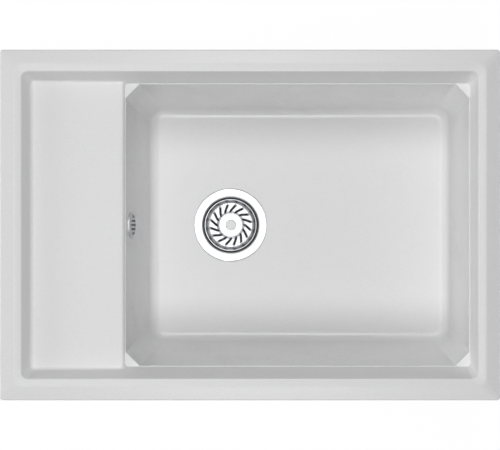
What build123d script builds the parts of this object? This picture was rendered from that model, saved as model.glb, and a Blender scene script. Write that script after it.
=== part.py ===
from build123d import *
import math
import os

os.makedirs("parts", exist_ok=True)

# Drop-in kitchen sink of moulded quartz composite: one bowl with a recessed drainboard beside it.
# Millimetres. The origin is the centre of the worktop cut-out, on the worktop's top surface.
# +X runs along the sink from the drainboard to the bowl, +Y to the back, +Z up.

# Overall size and the cut-out it drops into
sink_length = 720.0
sink_width = 505.0
cutout_lap = 10.0
outer_corner_radius = 4.0

# Rim, from the outer edge inwards
rim_edge_height = 3.2
rim_edge_rounding = 1.8
bevel_width = 19.4
crest_rise = 8.0
crest_flat = 2.6
crest_corner_radius = 13.0
band_width = 9.2
band_fall = 1.2
band_corner_radius = 9.5
band_edge_rounding = 3.0

# Recess inside the rim, which holds the drainboard and the bowl's mouth
drainboard_depth = 21.5
drainboard_width = 132.8
drainboard_fall = 1.5
drainboard_edge_rounding = 4.0
ledge_step = 4.5
step_run = 2.3
recess_run_left = 14.5
recess_run_right = 9.0
recess_run_sides = 15.8
recess_foot_radius = 5.5
board_rounding = 6.0
ledge_band = 1.0
bowl_lip_rounding = 1.0

# Bowl
bowl_depth = 193.0
bowl_draft_left = 9.5
bowl_draft_right = 4.5
bowl_draft_sides = 9.5
bowl_mouth_chamfer = 20.0
bowl_corner_radius = 24.0
bowl_corner_height = 20.0
bowl_floor_rounding = 15.0
floor_fall = 1.0
wall = 9.5
floor_thickness = 10.0
bowl_underside_rounding = 24.0
drain_from_step = 151.5
drain_boss_radius = 70.0
drain_boss_drop = 5.0

# Seal under the rim
seal_thickness = 1.5
seal_width = 6.0
seal_edge_inset = 2.5

# Clearances between pieces, and how far a cut runs past the faces that it opens
fit_gap = 0.05
seat_gap = 0.3
slide_play = 0.2
overrun = 5.0
crest_overrun = 0.4

# Worktop clips with their screws and dowels
worktop_thickness = 38.0
clip_end_distance = 115.0
clip_pad_inset = 10.5
clip_pad_width = 26.0
clip_pad_foot = 8.0
clip_width = 20.0
clip_sheet = 1.8
clip_bend_radius = 1.5
clip_tip_height = 2.2
clip_tip_margin = 1.2
clip_tooth_width = 2.4
clip_tooth_count = 4
clip_top_margin = 3.0
clip_travel_up = 10.0
clip_travel_down = 4.0
screw_drop = 21.5
screw_radius = 2.0
screw_length = 13.0
screw_head_radius = 4.4
screw_head_height = 2.6
screw_head_rounding = 1.5
screw_slot_width = 1.0
screw_slot_depth = 1.2
clip_slot_play = 0.3
dowel_radius = 4.0
dowel_length = 12.0

# Strainer dish in the bowl's floor
sheet = 1.2
dish_flange_radius = 55.7
dish_flange_proud = 0.4
dish_lip_rounding = 2.6
dish_cup_radius = 41.5
dish_cup_depth = 20.0
dish_shoulder_width = 5.0
dish_sump_depth = 5.0
dish_corner_rounding = 1.5
dish_window_count = 6
dish_window_radius = 6.5
dish_window_circle = 21.5
dish_seat_clearance = 1.0
drain_hole_radius = 45.0
gasket_margin = 1.0
dish_gasket_thickness = 1.5
body_gasket_thickness = 3.0

# Basket that stands in the dish
basket_rim_radius = 40.2
basket_rim_drop = 3.4
basket_bead_radius = 1.1
basket_depth = 12.0
basket_floor_radius = 34.7
basket_floor_rounding = 3.0
basket_hub_radius = 17.8
basket_hub_rise = 4.0
basket_slot_count = 16
basket_slot_width = 2.4
basket_slot_inner = 19.5
basket_slot_outer = 32.3
basket_slot_start = 15.5
basket_slot_twist = 35.0
basket_gasket_lip = 1.5
basket_gasket_margin = 0.8
basket_gasket_clearance = 1.4
knob_radius = 8.1
knob_height = 7.5
knob_neck_radius = 5.0
knob_neck_height = 2.5
knob_underside_rise = 1.0
knob_rounding = 1.2
knob_socket_depth = 5.5
stem_radius = 3.2
stem_collar_radius = 5.5
stem_collar_height = 2.0
stem_length = 26.0
stem_ring_radius = 0.8
stem_ring_lift = 6.0
running_play = 0.1

# Hollow screw that draws the dish and the waste body together
centre_screw_radius = 6.0
centre_screw_length = 30.0
centre_screw_head_radius = 8.5
centre_screw_head_height = 6.0
centre_screw_bore = 3.7
centre_screw_bore_depth = 22.0
centre_screw_hex_depth = 2.5
centre_screw_hex_radius = 6.4
centre_screw_overrun = 1.7

# Waste body under the bowl
waste_flange_radius = 56.0
waste_flange_thickness = 4.0
waste_cup_radius = 44.5
waste_cup_depth = 34.0
waste_wall = 3.5
waste_cone_drop = 7.0
waste_outlet_bore = 19.0
waste_outlet_neck_radius = 22.5
waste_outlet_neck = 4.0
waste_outlet_thread = 23.9
waste_outlet_length = 20.0
waste_boss_radius = 10.0
waste_rib_count = 3
waste_rib_thickness = 3.0
waste_rib_height = 16.0
waste_rib_drop = 3.0
waste_inlet_drop = 20.5
waste_inlet_length = 22.0

# Overflow in the bowl's wall beside the drainboard, and its pipe down to the waste body
overflow_drop = 59.5
overflow_hole_radius = 13.2
overflow_sleeve_radius = 12.9
overflow_sleeve_bore = 11.2
overflow_sleeve_grip = 10.0
overflow_flange_radius = 17.1
overflow_flange_thickness = 1.5
cap_height = 3.9
cap_wall = 1.3
cap_slope_run = 4.5
cap_edge_rounding = 0.8
cap_slot_count = 5
cap_slot_pitch = 6.2
cap_slot_width = 3.1
cap_slot_margin = 4.2
elbow_flange_radius = 20.0
elbow_flange_thickness = 3.5
elbow_gasket_thickness = 3.0
elbow_gasket_inner = 14.0
elbow_body_radius = 16.0
elbow_back_wall = 3.0
elbow_standoff = 20.5
elbow_outlet_drop = 32.0

# Pipe joints, the same at the elbow and at the waste body
pipe_radius = 10.0
pipe_wall = 1.6
pipe_bend_radius = 32.0
pipe_insertion = 11.5
spigot_radius = 14.5
spigot_bore_depth = 12.0
spigot_waterway = 8.4
joint_seal_length = 3.0
joint_nut_radius = 18.5
joint_nut_sides = 8
joint_nut_overlap = 9.0
joint_nut_end = 2.5
joint_nut_chamfer = 1.0

# Heights
rim_under_z = seal_thickness
rim_edge_z = rim_under_z + rim_edge_height
crest_z = rim_under_z + crest_rise
band_z = crest_z - band_fall
drainboard_z = crest_z - drainboard_depth
drainboard_low_z = drainboard_z - drainboard_fall
ledge_z = drainboard_low_z - ledge_step
seat_z = crest_z - bowl_depth
bowl_under_z = seat_z - floor_thickness
boss_under_z = bowl_under_z - drain_boss_drop
tray_under_z = drainboard_low_z - wall
screw_z = rim_under_z - screw_drop
pad_under_z = screw_z - clip_pad_foot
dish_top_z = seat_z + dish_flange_proud
dish_seat_z = dish_top_z - sheet - dish_gasket_thickness
waste_top_z = boss_under_z - body_gasket_thickness
waste_inlet_z = waste_top_z - waste_inlet_drop
overflow_z = crest_z - overflow_drop

# Outlines seen from above
half_length = sink_length / 2
half_width = sink_width / 2
cutout_half_length = half_length - cutout_lap
cutout_half_width = half_width - cutout_lap
band_inner_inset = bevel_width + crest_flat + band_width
recess_top_x = half_length - band_inner_inset
recess_top_y = half_width - band_inner_inset
recess_left_x = recess_run_left - recess_top_x
recess_right_x = recess_top_x - recess_run_right
recess_y = recess_top_y - recess_run_sides
ledge_left_x = recess_left_x + drainboard_width
mouth_left_x = ledge_left_x + ledge_band
mouth_right_x = recess_right_x - ledge_band
mouth_y = recess_y - ledge_band
drain_x = ledge_left_x + drain_from_step


def outline(x_min, x_max, y_half, radius, z):
    """A rounded rectangle at height z, symmetrical about the X axis."""
    middle = (x_min + x_max) / 2
    return Pos(middle, 0, z) * RectangleRounded(x_max - x_min, 2 * y_half, radius)


def rim_outline(inset, radius, z):
    """The sink's outer outline drawn in by inset, at height z."""
    return outline(inset - half_length, half_length - inset, half_width - inset, radius, z)


def between(start, end, share):
    """The value a share of the way from start to end, or past them."""
    return start + (end - start) * share


def recess_outline(z, grow=0.0):
    """The recess at height z, between its foot at the ledge and its top at the rim's band."""
    share = (z - ledge_z) / (band_z - ledge_z)
    left = between(recess_left_x, -recess_top_x, share)
    right = between(recess_right_x, recess_top_x, share)
    side = between(recess_y, recess_top_y, share)
    radius = between(recess_foot_radius, band_corner_radius, share)
    return outline(left - grow, right + grow, side + grow, radius + grow, z)


def bowl_left(z):
    """The bowl's left wall at height z, on the bowl's centre line."""
    return mouth_left_x + (ledge_z - z) * math.tan(math.radians(bowl_draft_left))


def bowl_outline(z, grow=0.0):
    """The bowl's section at height z, drawn in below the ledge by each wall's draft."""
    depth = ledge_z - z
    right = mouth_right_x - depth * math.tan(math.radians(bowl_draft_right))
    side = mouth_y - depth * math.tan(math.radians(bowl_draft_sides))
    return outline(bowl_left(z) - grow, right + grow, side + grow, bowl_corner_radius + grow, z)


def bowl_mouth():
    """The bowl's mouth at the ledge, with its corners cut off straight."""
    length = mouth_right_x - mouth_left_x
    centre = (mouth_left_x + mouth_right_x) / 2
    mouth = Pos(centre, 0, ledge_z) * Rectangle(length, 2 * mouth_y)
    return chamfer(mouth.vertices(), bowl_mouth_chamfer)


def frustum(lower, upper):
    """A solid with straight sides between two level outlines."""
    return loft([lower, upper], ruled=True)


def turned(points, radii=None):
    """A solid of revolution about Z from a closed outline of radius and height, with rounded corners."""
    corners = [(radius, height) for radius, height in points]
    line = FilletPolyline(*corners, radius=radii or [0.0] * len(corners), close=True)
    return revolve(Plane.XZ * make_face(line), Axis.Z)


def ring(inner, outer, low, high):
    """A plain ring about Z."""
    return turned([(inner, low), (outer, low), (outer, high), (inner, high)])


def disc(radius, low, high):
    """A plain disc about Z."""
    return Pos(0, 0, (low + high) / 2) * Cylinder(radius, high - low)


def block(x_min, x_max, y_min, y_max, z_min, z_max):
    """A box between two corners."""
    centre = Pos((x_min + x_max) / 2, (y_min + y_max) / 2, (z_min + z_max) / 2)
    return centre * Box(x_max - x_min, y_max - y_min, z_max - z_min)


def prism(points, radii, half_depth):
    """A solid with a constant outline in X and Z, as deep as twice half_depth along Y."""
    line = FilletPolyline(*points, radius=radii, close=True)
    return extrude(Plane.XZ * make_face(line), half_depth, both=True)


def edges_at(solid, z, tolerance=0.01):
    """The level edges of a solid at height z."""
    level = solid.edges().filter_by(lambda edge: edge.bounding_box().size.Z < tolerance)
    return level.filter_by(lambda edge: abs(edge.center().Z - z) < tolerance)


# Clip stations round the sink: the pad's face stands clip_pad_inset inside the cut-out
pad_x = cutout_half_length - clip_pad_inset
pad_y = cutout_half_width - clip_pad_inset
outer_clip_x = cutout_half_length - clip_end_distance
clip_stations = []
for offset in (-outer_clip_x, 0.0, outer_clip_x):
    clip_stations.append((offset, pad_y, 90))
for offset in (outer_clip_x, 0.0, -outer_clip_x):
    clip_stations.append((offset, -pad_y, -90))
clip_stations.append((-pad_x, 0.0, 180))
clip_stations.append((pad_x, 0.0, 0))


def at_station(station, shape):
    """A shape modelled with the pad's face at X = 0 and outwards along +X, moved to a clip station."""
    x, y, turn = station
    return Pos(x, y, 0) * Rot(0, 0, turn) * shape


def pad_reach(station):
    """How far a pad runs inwards from its face, to the recess's foot on its side."""
    x, y, turn = station
    if y:
        return pad_y - recess_y
    return pad_x - recess_right_x if x > 0 else pad_x + recess_left_x


# The overflow's frame: origin on the bowl's wall, Z into the bowl, Y up along the wall
draft = math.radians(bowl_draft_left)
overflow_plane = Plane(
    origin=(bowl_left(overflow_z), 0, overflow_z),
    x_dir=(0, 1, 0),
    z_dir=(math.cos(draft), 0, math.sin(draft)),
)
wall_through = wall * math.cos(draft)


def on_bowl_mouth(edge):
    """Whether an edge at the ledge lies on the bowl's mouth."""
    box = edge.bounding_box()
    inside_x = box.min.X > mouth_left_x - fit_gap and box.max.X < mouth_right_x + fit_gap
    return inside_x and max(abs(box.min.Y), abs(box.max.Y)) < mouth_y + fit_gap


def rim_plate():
    """The rim: an upright edge, a bevel up to the crest and a flat underside."""
    foot = rim_outline(0, outer_corner_radius, rim_under_z)
    edge = extrude(foot, rim_edge_height)
    bevel = frustum(
        rim_outline(0, outer_corner_radius, rim_edge_z),
        rim_outline(bevel_width, crest_corner_radius, crest_z),
    )
    plate = edge + bevel
    return fillet(edges_at(plate, rim_edge_z), rim_edge_rounding)


def on_board_foot(edge):
    """Whether an edge of the recess lies on the drainboard, where it meets the walls."""
    box = edge.bounding_box()
    low = drainboard_low_z - fit_gap
    high = drainboard_z + drainboard_fall
    inside_z = box.min.Z > low and box.max.Z < high
    return inside_z and box.max.X < ledge_left_x - step_run - fit_gap


def recess_void():
    """The space above the drainboard and the ledge, up through the rim's sloping band."""
    past = 1 + crest_overrun / band_fall
    band_top_inset = between(band_inner_inset, band_inner_inset - band_width, past)
    band_top_radius = between(band_corner_radius, crest_corner_radius, past)
    void = frustum(recess_outline(ledge_z), recess_outline(band_z))
    void += frustum(
        recess_outline(band_z),
        rim_outline(band_top_inset, band_top_radius, crest_z + crest_overrun),
    )
    reach = sink_length
    far_rise = drainboard_fall * reach / drainboard_width
    edge_x = ledge_left_x - step_run
    board = prism(
        [
            (edge_x - reach, bowl_under_z),
            (ledge_left_x, bowl_under_z),
            (ledge_left_x, ledge_z),
            (edge_x, drainboard_low_z),
            (edge_x - reach, drainboard_low_z + far_rise),
        ],
        [0, 0, 0, drainboard_edge_rounding, 0],
        sink_width,
    )
    void -= board
    return fillet(void.edges().filter_by(on_board_foot), board_rounding)


def bowl_void():
    """The bowl's inside: drafted walls over a floor that falls to the drain from every side."""
    round_top = seat_z + bowl_corner_height
    sides = frustum(bowl_outline(bowl_under_z), bowl_outline(round_top))
    sides += frustum(bowl_outline(round_top), bowl_mouth())
    reach = sink_length
    slope = math.tan(math.radians(floor_fall))
    seat_radius = dish_flange_radius + dish_seat_clearance
    below = bowl_under_z - floor_thickness
    ground = turned(
        [
            (0, below),
            (reach, below),
            (reach, seat_z + (reach - seat_radius) * slope),
            (seat_radius, seat_z),
            (0, seat_z),
        ]
    )
    void = sides - Pos(drain_x, 0, 0) * ground
    floor = void.faces().filter_by(GeomType.CONE).sort_by(Axis.Z)[0]
    walls_foot = floor.edges().filter_by(lambda edge: edge.geom_type not in (GeomType.LINE, GeomType.CIRCLE))
    return fillet(walls_foot, bowl_floor_rounding)


def sink_body():
    """The moulded composite body, rim, drainboard and bowl in one piece."""
    tray = frustum(recess_outline(tray_under_z, wall), recess_outline(rim_edge_z, wall))
    shell = frustum(bowl_outline(bowl_under_z, wall), bowl_outline(ledge_z, wall))
    shell = fillet(edges_at(shell, bowl_under_z), bowl_underside_rounding)
    body = rim_plate() + tray + shell
    body += Pos(drain_x, 0, 0) * disc(drain_boss_radius, boss_under_z, seat_z)
    half_pad = clip_pad_width / 2
    for station in clip_stations:
        pad = block(-pad_reach(station), 0, -half_pad, half_pad, pad_under_z, rim_edge_z)
        body += at_station(station, pad)
    body -= recess_void() + bowl_void()
    body = fillet(edges_at(body, band_z), band_edge_rounding)
    lip = edges_at(body, ledge_z).filter_by(on_bowl_mouth)
    body = fillet(lip, bowl_lip_rounding)
    seat_radius = dish_flange_radius + dish_seat_clearance
    body -= Pos(drain_x, 0, 0) * disc(seat_radius, dish_seat_z, seat_z + overrun)
    body -= Pos(drain_x, 0, 0) * disc(drain_hole_radius, boss_under_z - overrun, seat_z)
    body -= overflow_plane * disc(overflow_hole_radius, -wall_through - overrun, overrun)
    for station in clip_stations:
        hole = Rot(0, 90, 0) * disc(dowel_radius + fit_gap, -dowel_length - fit_gap, overrun)
        body -= at_station(station, Pos(0, 0, screw_z) * hole)
    return body


def write(name, shape):
    """Write one sub-part to its own file."""
    export_step(shape, f"parts/{name}.step")


def rim_seal():
    """The foam seal between the rim and the worktop, a closed ring near the rim's edge."""
    outer = rim_outline(seal_edge_inset, outer_corner_radius, 0)
    inner = rim_outline(seal_edge_inset + seal_width, outer_corner_radius, 0)
    return extrude(outer - inner, seal_thickness)


# Clip sizes from the pad's face outwards
clip_back = slide_play
clip_front = clip_back + clip_sheet
clip_reach = clip_pad_inset + cutout_lap - clip_tip_margin
clip_foot_z = -worktop_thickness - clip_tip_height
clip_slot_radius = screw_radius + clip_slot_play
clip_top_z = screw_z + clip_travel_down + clip_slot_radius + clip_top_margin
screw_seat = clip_front + slide_play


def worktop_clip():
    """An L-shaped clip: an upright slotted leg and a foot whose toothed tip grips under the worktop."""
    under_z = clip_foot_z - clip_sheet
    outer_bend = clip_bend_radius + clip_sheet
    clip = prism(
        [
            (clip_back, under_z),
            (clip_reach, under_z),
            (clip_reach, -worktop_thickness),
            (clip_reach - clip_sheet, -worktop_thickness),
            (clip_reach - clip_sheet, clip_foot_z),
            (clip_front, clip_foot_z),
            (clip_front, clip_top_z),
            (clip_back, clip_top_z),
        ],
        [outer_bend, 0, 0, 0, 0, clip_bend_radius, 0, 0],
        clip_width / 2,
    )
    travel = clip_travel_up + clip_travel_down
    slot_z = screw_z + (clip_travel_down - clip_travel_up) / 2
    slot_outline = SlotCenterToCenter(travel, 2 * clip_slot_radius, rotation=90)
    slot = extrude(Plane.YZ * slot_outline, clip_front + fit_gap)
    clip -= Pos(0, 0, slot_z) * slot
    pitch = clip_width / clip_tooth_count
    for index in range(clip_tooth_count - 1):
        notch_y = (index + 1) * pitch - clip_width / 2
        clip -= block(
            clip_reach - clip_sheet - fit_gap,
            clip_reach + fit_gap,
            notch_y - clip_tooth_width / 2,
            notch_y + clip_tooth_width / 2,
            clip_foot_z,
            clip_foot_z + clip_tip_height + fit_gap,
        )
    return clip


def clip_screw():
    """A round-headed slotted screw through a clip into its dowel, along X."""
    head = turned(
        [
            (0, 0),
            (screw_head_radius, 0),
            (screw_head_radius, screw_head_height),
            (0, screw_head_height),
        ],
        [0, 0, screw_head_rounding, 0],
    )
    shank = disc(screw_radius, -screw_length, 0)
    drive = block(
        -screw_head_radius,
        screw_head_radius,
        -screw_slot_width / 2,
        screw_slot_width / 2,
        screw_head_height - screw_slot_depth,
        screw_head_height + overrun,
    )
    return Pos(screw_seat, 0, screw_z) * Rot(0, 90, 0) * (head + shank - drive)


def clip_dowel():
    """A plastic dowel in the pad that the clip's screw cuts into, along X."""
    dowel = disc(dowel_radius, -dowel_length, 0)
    dowel -= disc(screw_radius + fit_gap, -dowel_length, 0)
    return Pos(0, 0, screw_z) * Rot(0, 90, 0) * dowel


def at_drain(shape, z):
    """A shape modelled about Z and down from zero, moved to the drain with its zero at height z."""
    return Pos(drain_x, 0, z) * shape


def round_pattern(shape, count, start=0.0):
    """Copies of a shape turned evenly about Z."""
    return [Rot(0, 0, start + index * 360 / count) * shape for index in range(count)]


# Dish sizes, heights counted down from the flange's top
dish_sump_radius = dish_cup_radius - dish_shoulder_width
dish_bottom = dish_cup_depth + dish_sump_depth
dish_under_z = dish_top_z - dish_bottom - sheet


def strainer_dish():
    """The pressed steel dish: a flange on the bowl's floor, a cup with a shoulder and a pierced sump."""
    outer_rounding = dish_corner_rounding + sheet
    dish = turned(
        [
            (0, -dish_bottom),
            (dish_sump_radius, -dish_bottom),
            (dish_sump_radius, -dish_cup_depth),
            (dish_cup_radius, -dish_cup_depth),
            (dish_cup_radius, 0),
            (dish_flange_radius, 0),
            (dish_flange_radius, -sheet),
            (dish_cup_radius + sheet, -sheet),
            (dish_cup_radius + sheet, -dish_cup_depth - sheet),
            (dish_sump_radius + sheet, -dish_cup_depth - sheet),
            (dish_sump_radius + sheet, -dish_bottom - sheet),
            (0, -dish_bottom - sheet),
        ],
        [
            0,
            dish_corner_rounding,
            dish_corner_rounding,
            dish_corner_rounding,
            dish_lip_rounding,
            sheet / 2,
            0,
            dish_lip_rounding - sheet,
            outer_rounding,
            0,
            outer_rounding,
            0,
        ],
    )
    below = -dish_bottom - sheet - overrun
    window = Pos(dish_window_circle, 0, 0) * disc(dish_window_radius, below, -dish_cup_depth)
    for copy in round_pattern(window, dish_window_count):
        dish -= copy
    dish -= disc(centre_screw_radius + seat_gap, below, -dish_cup_depth)
    return at_drain(dish, dish_top_z)


def dish_gasket():
    """The seal between the dish's flange and its seat in the bowl's floor."""
    outer = dish_flange_radius - gasket_margin
    gasket = ring(drain_hole_radius + gasket_margin, outer, 0, dish_gasket_thickness)
    return at_drain(gasket, dish_seat_z)


def body_gasket():
    """The thick seal between the sink's drain boss and the waste body."""
    outer = waste_flange_radius - gasket_margin
    gasket = ring(drain_hole_radius + gasket_margin, outer, 0, body_gasket_thickness)
    return at_drain(gasket, waste_top_z)


# Basket sizes, heights counted down from the basket's rim
basket_top_z = dish_top_z - basket_rim_drop
basket_floor_z = basket_top_z - basket_depth
shoulder_z = dish_top_z - dish_cup_depth


def basket():
    """The steel basket: a beaded rim, a tapered wall and a floor with twisted slots round a raised hub."""
    hub_z = basket_hub_rise - basket_depth
    hub_side = basket_hub_radius + basket_hub_rise
    cup = turned(
        [
            (stem_radius + fit_gap, hub_z),
            (basket_hub_radius, hub_z),
            (hub_side, -basket_depth),
            (basket_floor_radius, -basket_depth),
            (basket_rim_radius - basket_bead_radius, 0),
            (basket_rim_radius, 0),
            (basket_rim_radius, -sheet),
            (basket_floor_radius + sheet, -basket_depth - sheet),
            (hub_side - sheet / 2, -basket_depth - sheet),
            (basket_hub_radius - sheet / 2, hub_z - sheet),
            (stem_radius + fit_gap, hub_z - sheet),
        ],
        [
            0,
            basket_floor_rounding,
            0,
            basket_floor_rounding,
            0,
            0,
            0,
            basket_floor_rounding,
            0,
            basket_floor_rounding,
            0,
        ],
    )
    length = basket_slot_outer - basket_slot_inner
    middle = (basket_slot_outer + basket_slot_inner) / 2
    span = length / math.cos(math.radians(basket_slot_twist)) - basket_slot_width
    slot_outline = SlotCenterToCenter(span, basket_slot_width, rotation=-basket_slot_twist)
    slot = extrude(slot_outline, overrun + sheet + basket_hub_rise)
    slot = Pos(middle, 0, -basket_depth - sheet - overrun) * slot
    for copy in round_pattern(slot, basket_slot_count, basket_slot_start):
        cup -= copy
    return at_drain(cup, basket_top_z)


def basket_gasket():
    """The rubber ring round the basket's lower edge, which rests on the dish's shoulder."""
    under = -basket_depth - sheet
    low = shoulder_z + seat_gap - basket_top_z
    top = basket_gasket_lip - basket_depth
    wall_foot = basket_floor_radius + sheet
    wall_share = (top - under) / (-sheet - under)
    wall_radius = between(wall_foot, basket_rim_radius, wall_share)
    outer = dish_cup_radius - basket_gasket_clearance
    inner = basket_slot_outer + basket_gasket_margin
    gasket = turned(
        [
            (inner, low),
            (outer, low),
            (outer, top),
            (wall_radius + fit_gap, top),
            (wall_foot + fit_gap, under - fit_gap),
            (inner, under - fit_gap),
        ]
    )
    return at_drain(gasket, basket_top_z)


# The stem stands through the basket's hub, with the knob above the hub and a collar below it
hub_top_z = basket_floor_z + basket_hub_rise
hub_under_z = hub_top_z - sheet
knob_z = hub_top_z + running_play
collar_top_z = hub_under_z - running_play
stem_foot_z = hub_under_z - stem_length
stem_ring_z = stem_foot_z + stem_ring_lift
stem_ring_centre = centre_screw_bore - running_play - stem_ring_radius


def basket_stem():
    """The stem that slides in the centre screw's bore, with a collar under the hub and a ring's groove."""
    top = knob_z + knob_socket_depth - fit_gap
    stem = disc(stem_radius, stem_foot_z, top)
    stem += disc(stem_collar_radius, collar_top_z - stem_collar_height, collar_top_z)
    half_groove = stem_ring_radius + fit_gap
    groove_radius = stem_ring_centre - half_groove
    groove_low = stem_ring_z - half_groove
    stem -= ring(groove_radius, stem_radius + overrun, groove_low, groove_low + 2 * half_groove)
    return at_drain(stem, 0)


def stem_ring():
    """The rubber ring in the stem's groove."""
    return at_drain(Torus(stem_ring_centre, stem_ring_radius), stem_ring_z)


def basket_knob():
    """The knob that lifts the basket, pressed on the stem's top."""
    shoulder = knob_neck_height + knob_underside_rise
    bore = stem_radius + fit_gap
    knob = turned(
        [
            (bore, 0),
            (knob_neck_radius, 0),
            (knob_neck_radius, knob_neck_height),
            (knob_radius, shoulder),
            (knob_radius, knob_height),
            (0, knob_height),
            (0, knob_socket_depth),
            (bore, knob_socket_depth),
        ],
        [0, 0, 0, 0, knob_rounding, 0, 0, 0],
    )
    return at_drain(knob, knob_z)


# Centre screw: its head stands on the dish's sump, its shank runs down into the waste body's boss
dish_floor_z = dish_top_z - dish_bottom
screw_head_top_z = dish_floor_z + centre_screw_head_height
screw_foot_z = dish_under_z - centre_screw_length


def centre_screw():
    """The hollow screw, with a hexagon socket round the bore that takes the stem."""
    screw = disc(centre_screw_head_radius, dish_floor_z, screw_head_top_z)
    screw += disc(centre_screw_radius, screw_foot_z, dish_floor_z)
    screw -= disc(centre_screw_bore, screw_head_top_z - centre_screw_bore_depth, screw_head_top_z)
    socket = extrude(RegularPolygon(centre_screw_hex_radius, 6), centre_screw_hex_depth)
    screw -= Pos(0, 0, screw_head_top_z - centre_screw_hex_depth) * socket
    return at_drain(screw, 0)


# Frames of the two pipe joints: origin on the spigot's end, Z the way the pipe leaves
wall_up = overflow_plane.y_dir
elbow_axis_depth = wall_through + elbow_gasket_thickness + elbow_standoff
elbow_joint_origin = overflow_plane.from_local_coords(Vector(0, -elbow_outlet_drop, -elbow_axis_depth))
elbow_joint = Plane(origin=elbow_joint_origin, x_dir=(0, 1, 0), z_dir=-wall_up)
waste_cup_outer = waste_cup_radius + waste_wall
waste_joint_x = drain_x - waste_cup_outer - waste_inlet_length
waste_joint = Plane(origin=(waste_joint_x, 0, waste_inlet_z), x_dir=(0, 1, 0), z_dir=(-1, 0, 0))


def joint_waterway(length):
    """The space inside a spigot: a socket for the pipe's end and a narrower bore behind it."""
    return disc(pipe_radius + fit_gap, -spigot_bore_depth, 0) + disc(spigot_waterway, -length, 0)


def joint_seal():
    """The rubber ring that the nut presses between a spigot's end and the pipe."""
    return ring(pipe_radius + fit_gap, spigot_radius - fit_gap, 0, joint_seal_length)


def joint_nut():
    """The eight-sided nut over a spigot, closed round the pipe."""
    length = joint_nut_overlap + joint_seal_length + joint_nut_end
    nut = extrude(RegularPolygon(joint_nut_radius, joint_nut_sides), length)
    nut = chamfer(nut.faces().sort_by(Axis.Z)[-1].edges(), joint_nut_chamfer)
    nut = Pos(0, 0, -joint_nut_overlap) * nut
    nut -= disc(spigot_radius + fit_gap, -joint_nut_overlap, joint_seal_length + fit_gap)
    return nut - disc(pipe_radius + seat_gap, 0, length)


def waste_body():
    """The waste body: a flanged cup, a threaded outlet, a side inlet and a ribbed boss for the screw."""
    cone_top = -waste_cup_depth
    cone_foot = cone_top - waste_cone_drop
    neck = cone_foot - waste_wall - waste_outlet_neck
    outlet = neck - waste_outlet_length
    cup = turned(
        [
            (waste_cup_radius, 0),
            (waste_flange_radius, 0),
            (waste_flange_radius, -waste_flange_thickness),
            (waste_cup_outer, -waste_flange_thickness),
            (waste_cup_outer, cone_top - waste_wall),
            (waste_outlet_neck_radius, cone_foot - waste_wall),
            (waste_outlet_neck_radius, neck),
            (waste_outlet_thread, neck),
            (waste_outlet_thread, outlet),
            (waste_outlet_bore, outlet),
            (waste_outlet_bore, cone_foot),
            (waste_cup_radius, cone_top),
        ]
    )
    boss_top = dish_under_z - seat_gap - waste_top_z
    boss_foot = screw_foot_z + centre_screw_overrun - waste_top_z
    cup += disc(waste_boss_radius, boss_foot, boss_top)
    rib_top = boss_top - waste_rib_drop
    rib = block(
        0,
        waste_cup_radius + waste_wall / 2,
        -waste_rib_thickness / 2,
        waste_rib_thickness / 2,
        rib_top - waste_rib_height,
        rib_top,
    )
    for copy in round_pattern(rib, waste_rib_count):
        cup += copy
    cup -= disc(centre_screw_radius + fit_gap, boss_foot, boss_top)
    cup = at_drain(cup, waste_top_z)
    through = waste_inlet_length + waste_wall
    cup += waste_joint * disc(spigot_radius, -waste_inlet_length - waste_wall / 2, 0)
    return cup - waste_joint * joint_waterway(through + fit_gap)


def overflow_bushing():
    """The flanged sleeve through the bowl's wall, screwed into the elbow behind it."""
    end = wall_through + elbow_gasket_thickness + overflow_sleeve_grip
    bushing = ring(overflow_sleeve_bore, overflow_sleeve_radius, -end, 0)
    bushing += ring(overflow_sleeve_bore, overflow_flange_radius, 0, overflow_flange_thickness)
    return overflow_plane * bushing


def overflow_cap():
    """The cover that snaps over the bushing's flange, with upright slots in its face."""
    inner = overflow_flange_radius + fit_gap
    outer = inner + cap_wall
    inner_skirt = overflow_flange_thickness + seat_gap
    crown = outer - cap_slope_run
    cap = turned(
        [
            (inner, 0),
            (outer, 0),
            (outer, inner_skirt),
            (crown, cap_height),
            (0, cap_height),
            (0, cap_height - cap_wall),
            (crown - cap_wall / 2, cap_height - cap_wall),
            (inner, inner_skirt),
        ],
        [0, 0, cap_edge_rounding, cap_edge_rounding, 0, 0, 0, 0],
    )
    reach = outer - cap_slot_margin
    for index in range(cap_slot_count):
        x = (index - (cap_slot_count - 1) / 2) * cap_slot_pitch
        slot_length = 2 * math.sqrt(reach**2 - x**2)
        slot = SlotCenterToCenter(slot_length - cap_slot_width, cap_slot_width, rotation=90)
        cap -= Pos(x, 0, inner_skirt) * extrude(slot, cap_height)
    return overflow_plane * cap


def overflow_gasket():
    """The seal between the bowl's wall and the elbow's flange."""
    gasket = ring(elbow_gasket_inner, elbow_flange_radius, -elbow_gasket_thickness, 0)
    return overflow_plane * (Pos(0, 0, -wall_through) * gasket)


def overflow_elbow():
    """The elbow behind the wall, which takes the bushing and turns the water down to the pipe."""
    face = -wall_through - elbow_gasket_thickness
    back = -elbow_axis_depth - elbow_body_radius
    elbow = disc(elbow_flange_radius, face - elbow_flange_thickness, face)
    elbow += disc(elbow_body_radius, back, face)
    elbow = overflow_plane * elbow
    elbow += elbow_joint * disc(spigot_radius, -elbow_outlet_drop, 0)
    socket = disc(overflow_sleeve_radius + fit_gap, face - overflow_sleeve_grip - seat_gap, face)
    chamber = disc(overflow_sleeve_bore, back + elbow_back_wall, face)
    elbow -= overflow_plane * (socket + chamber)
    return elbow - elbow_joint * joint_waterway(elbow_outlet_drop)


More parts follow.
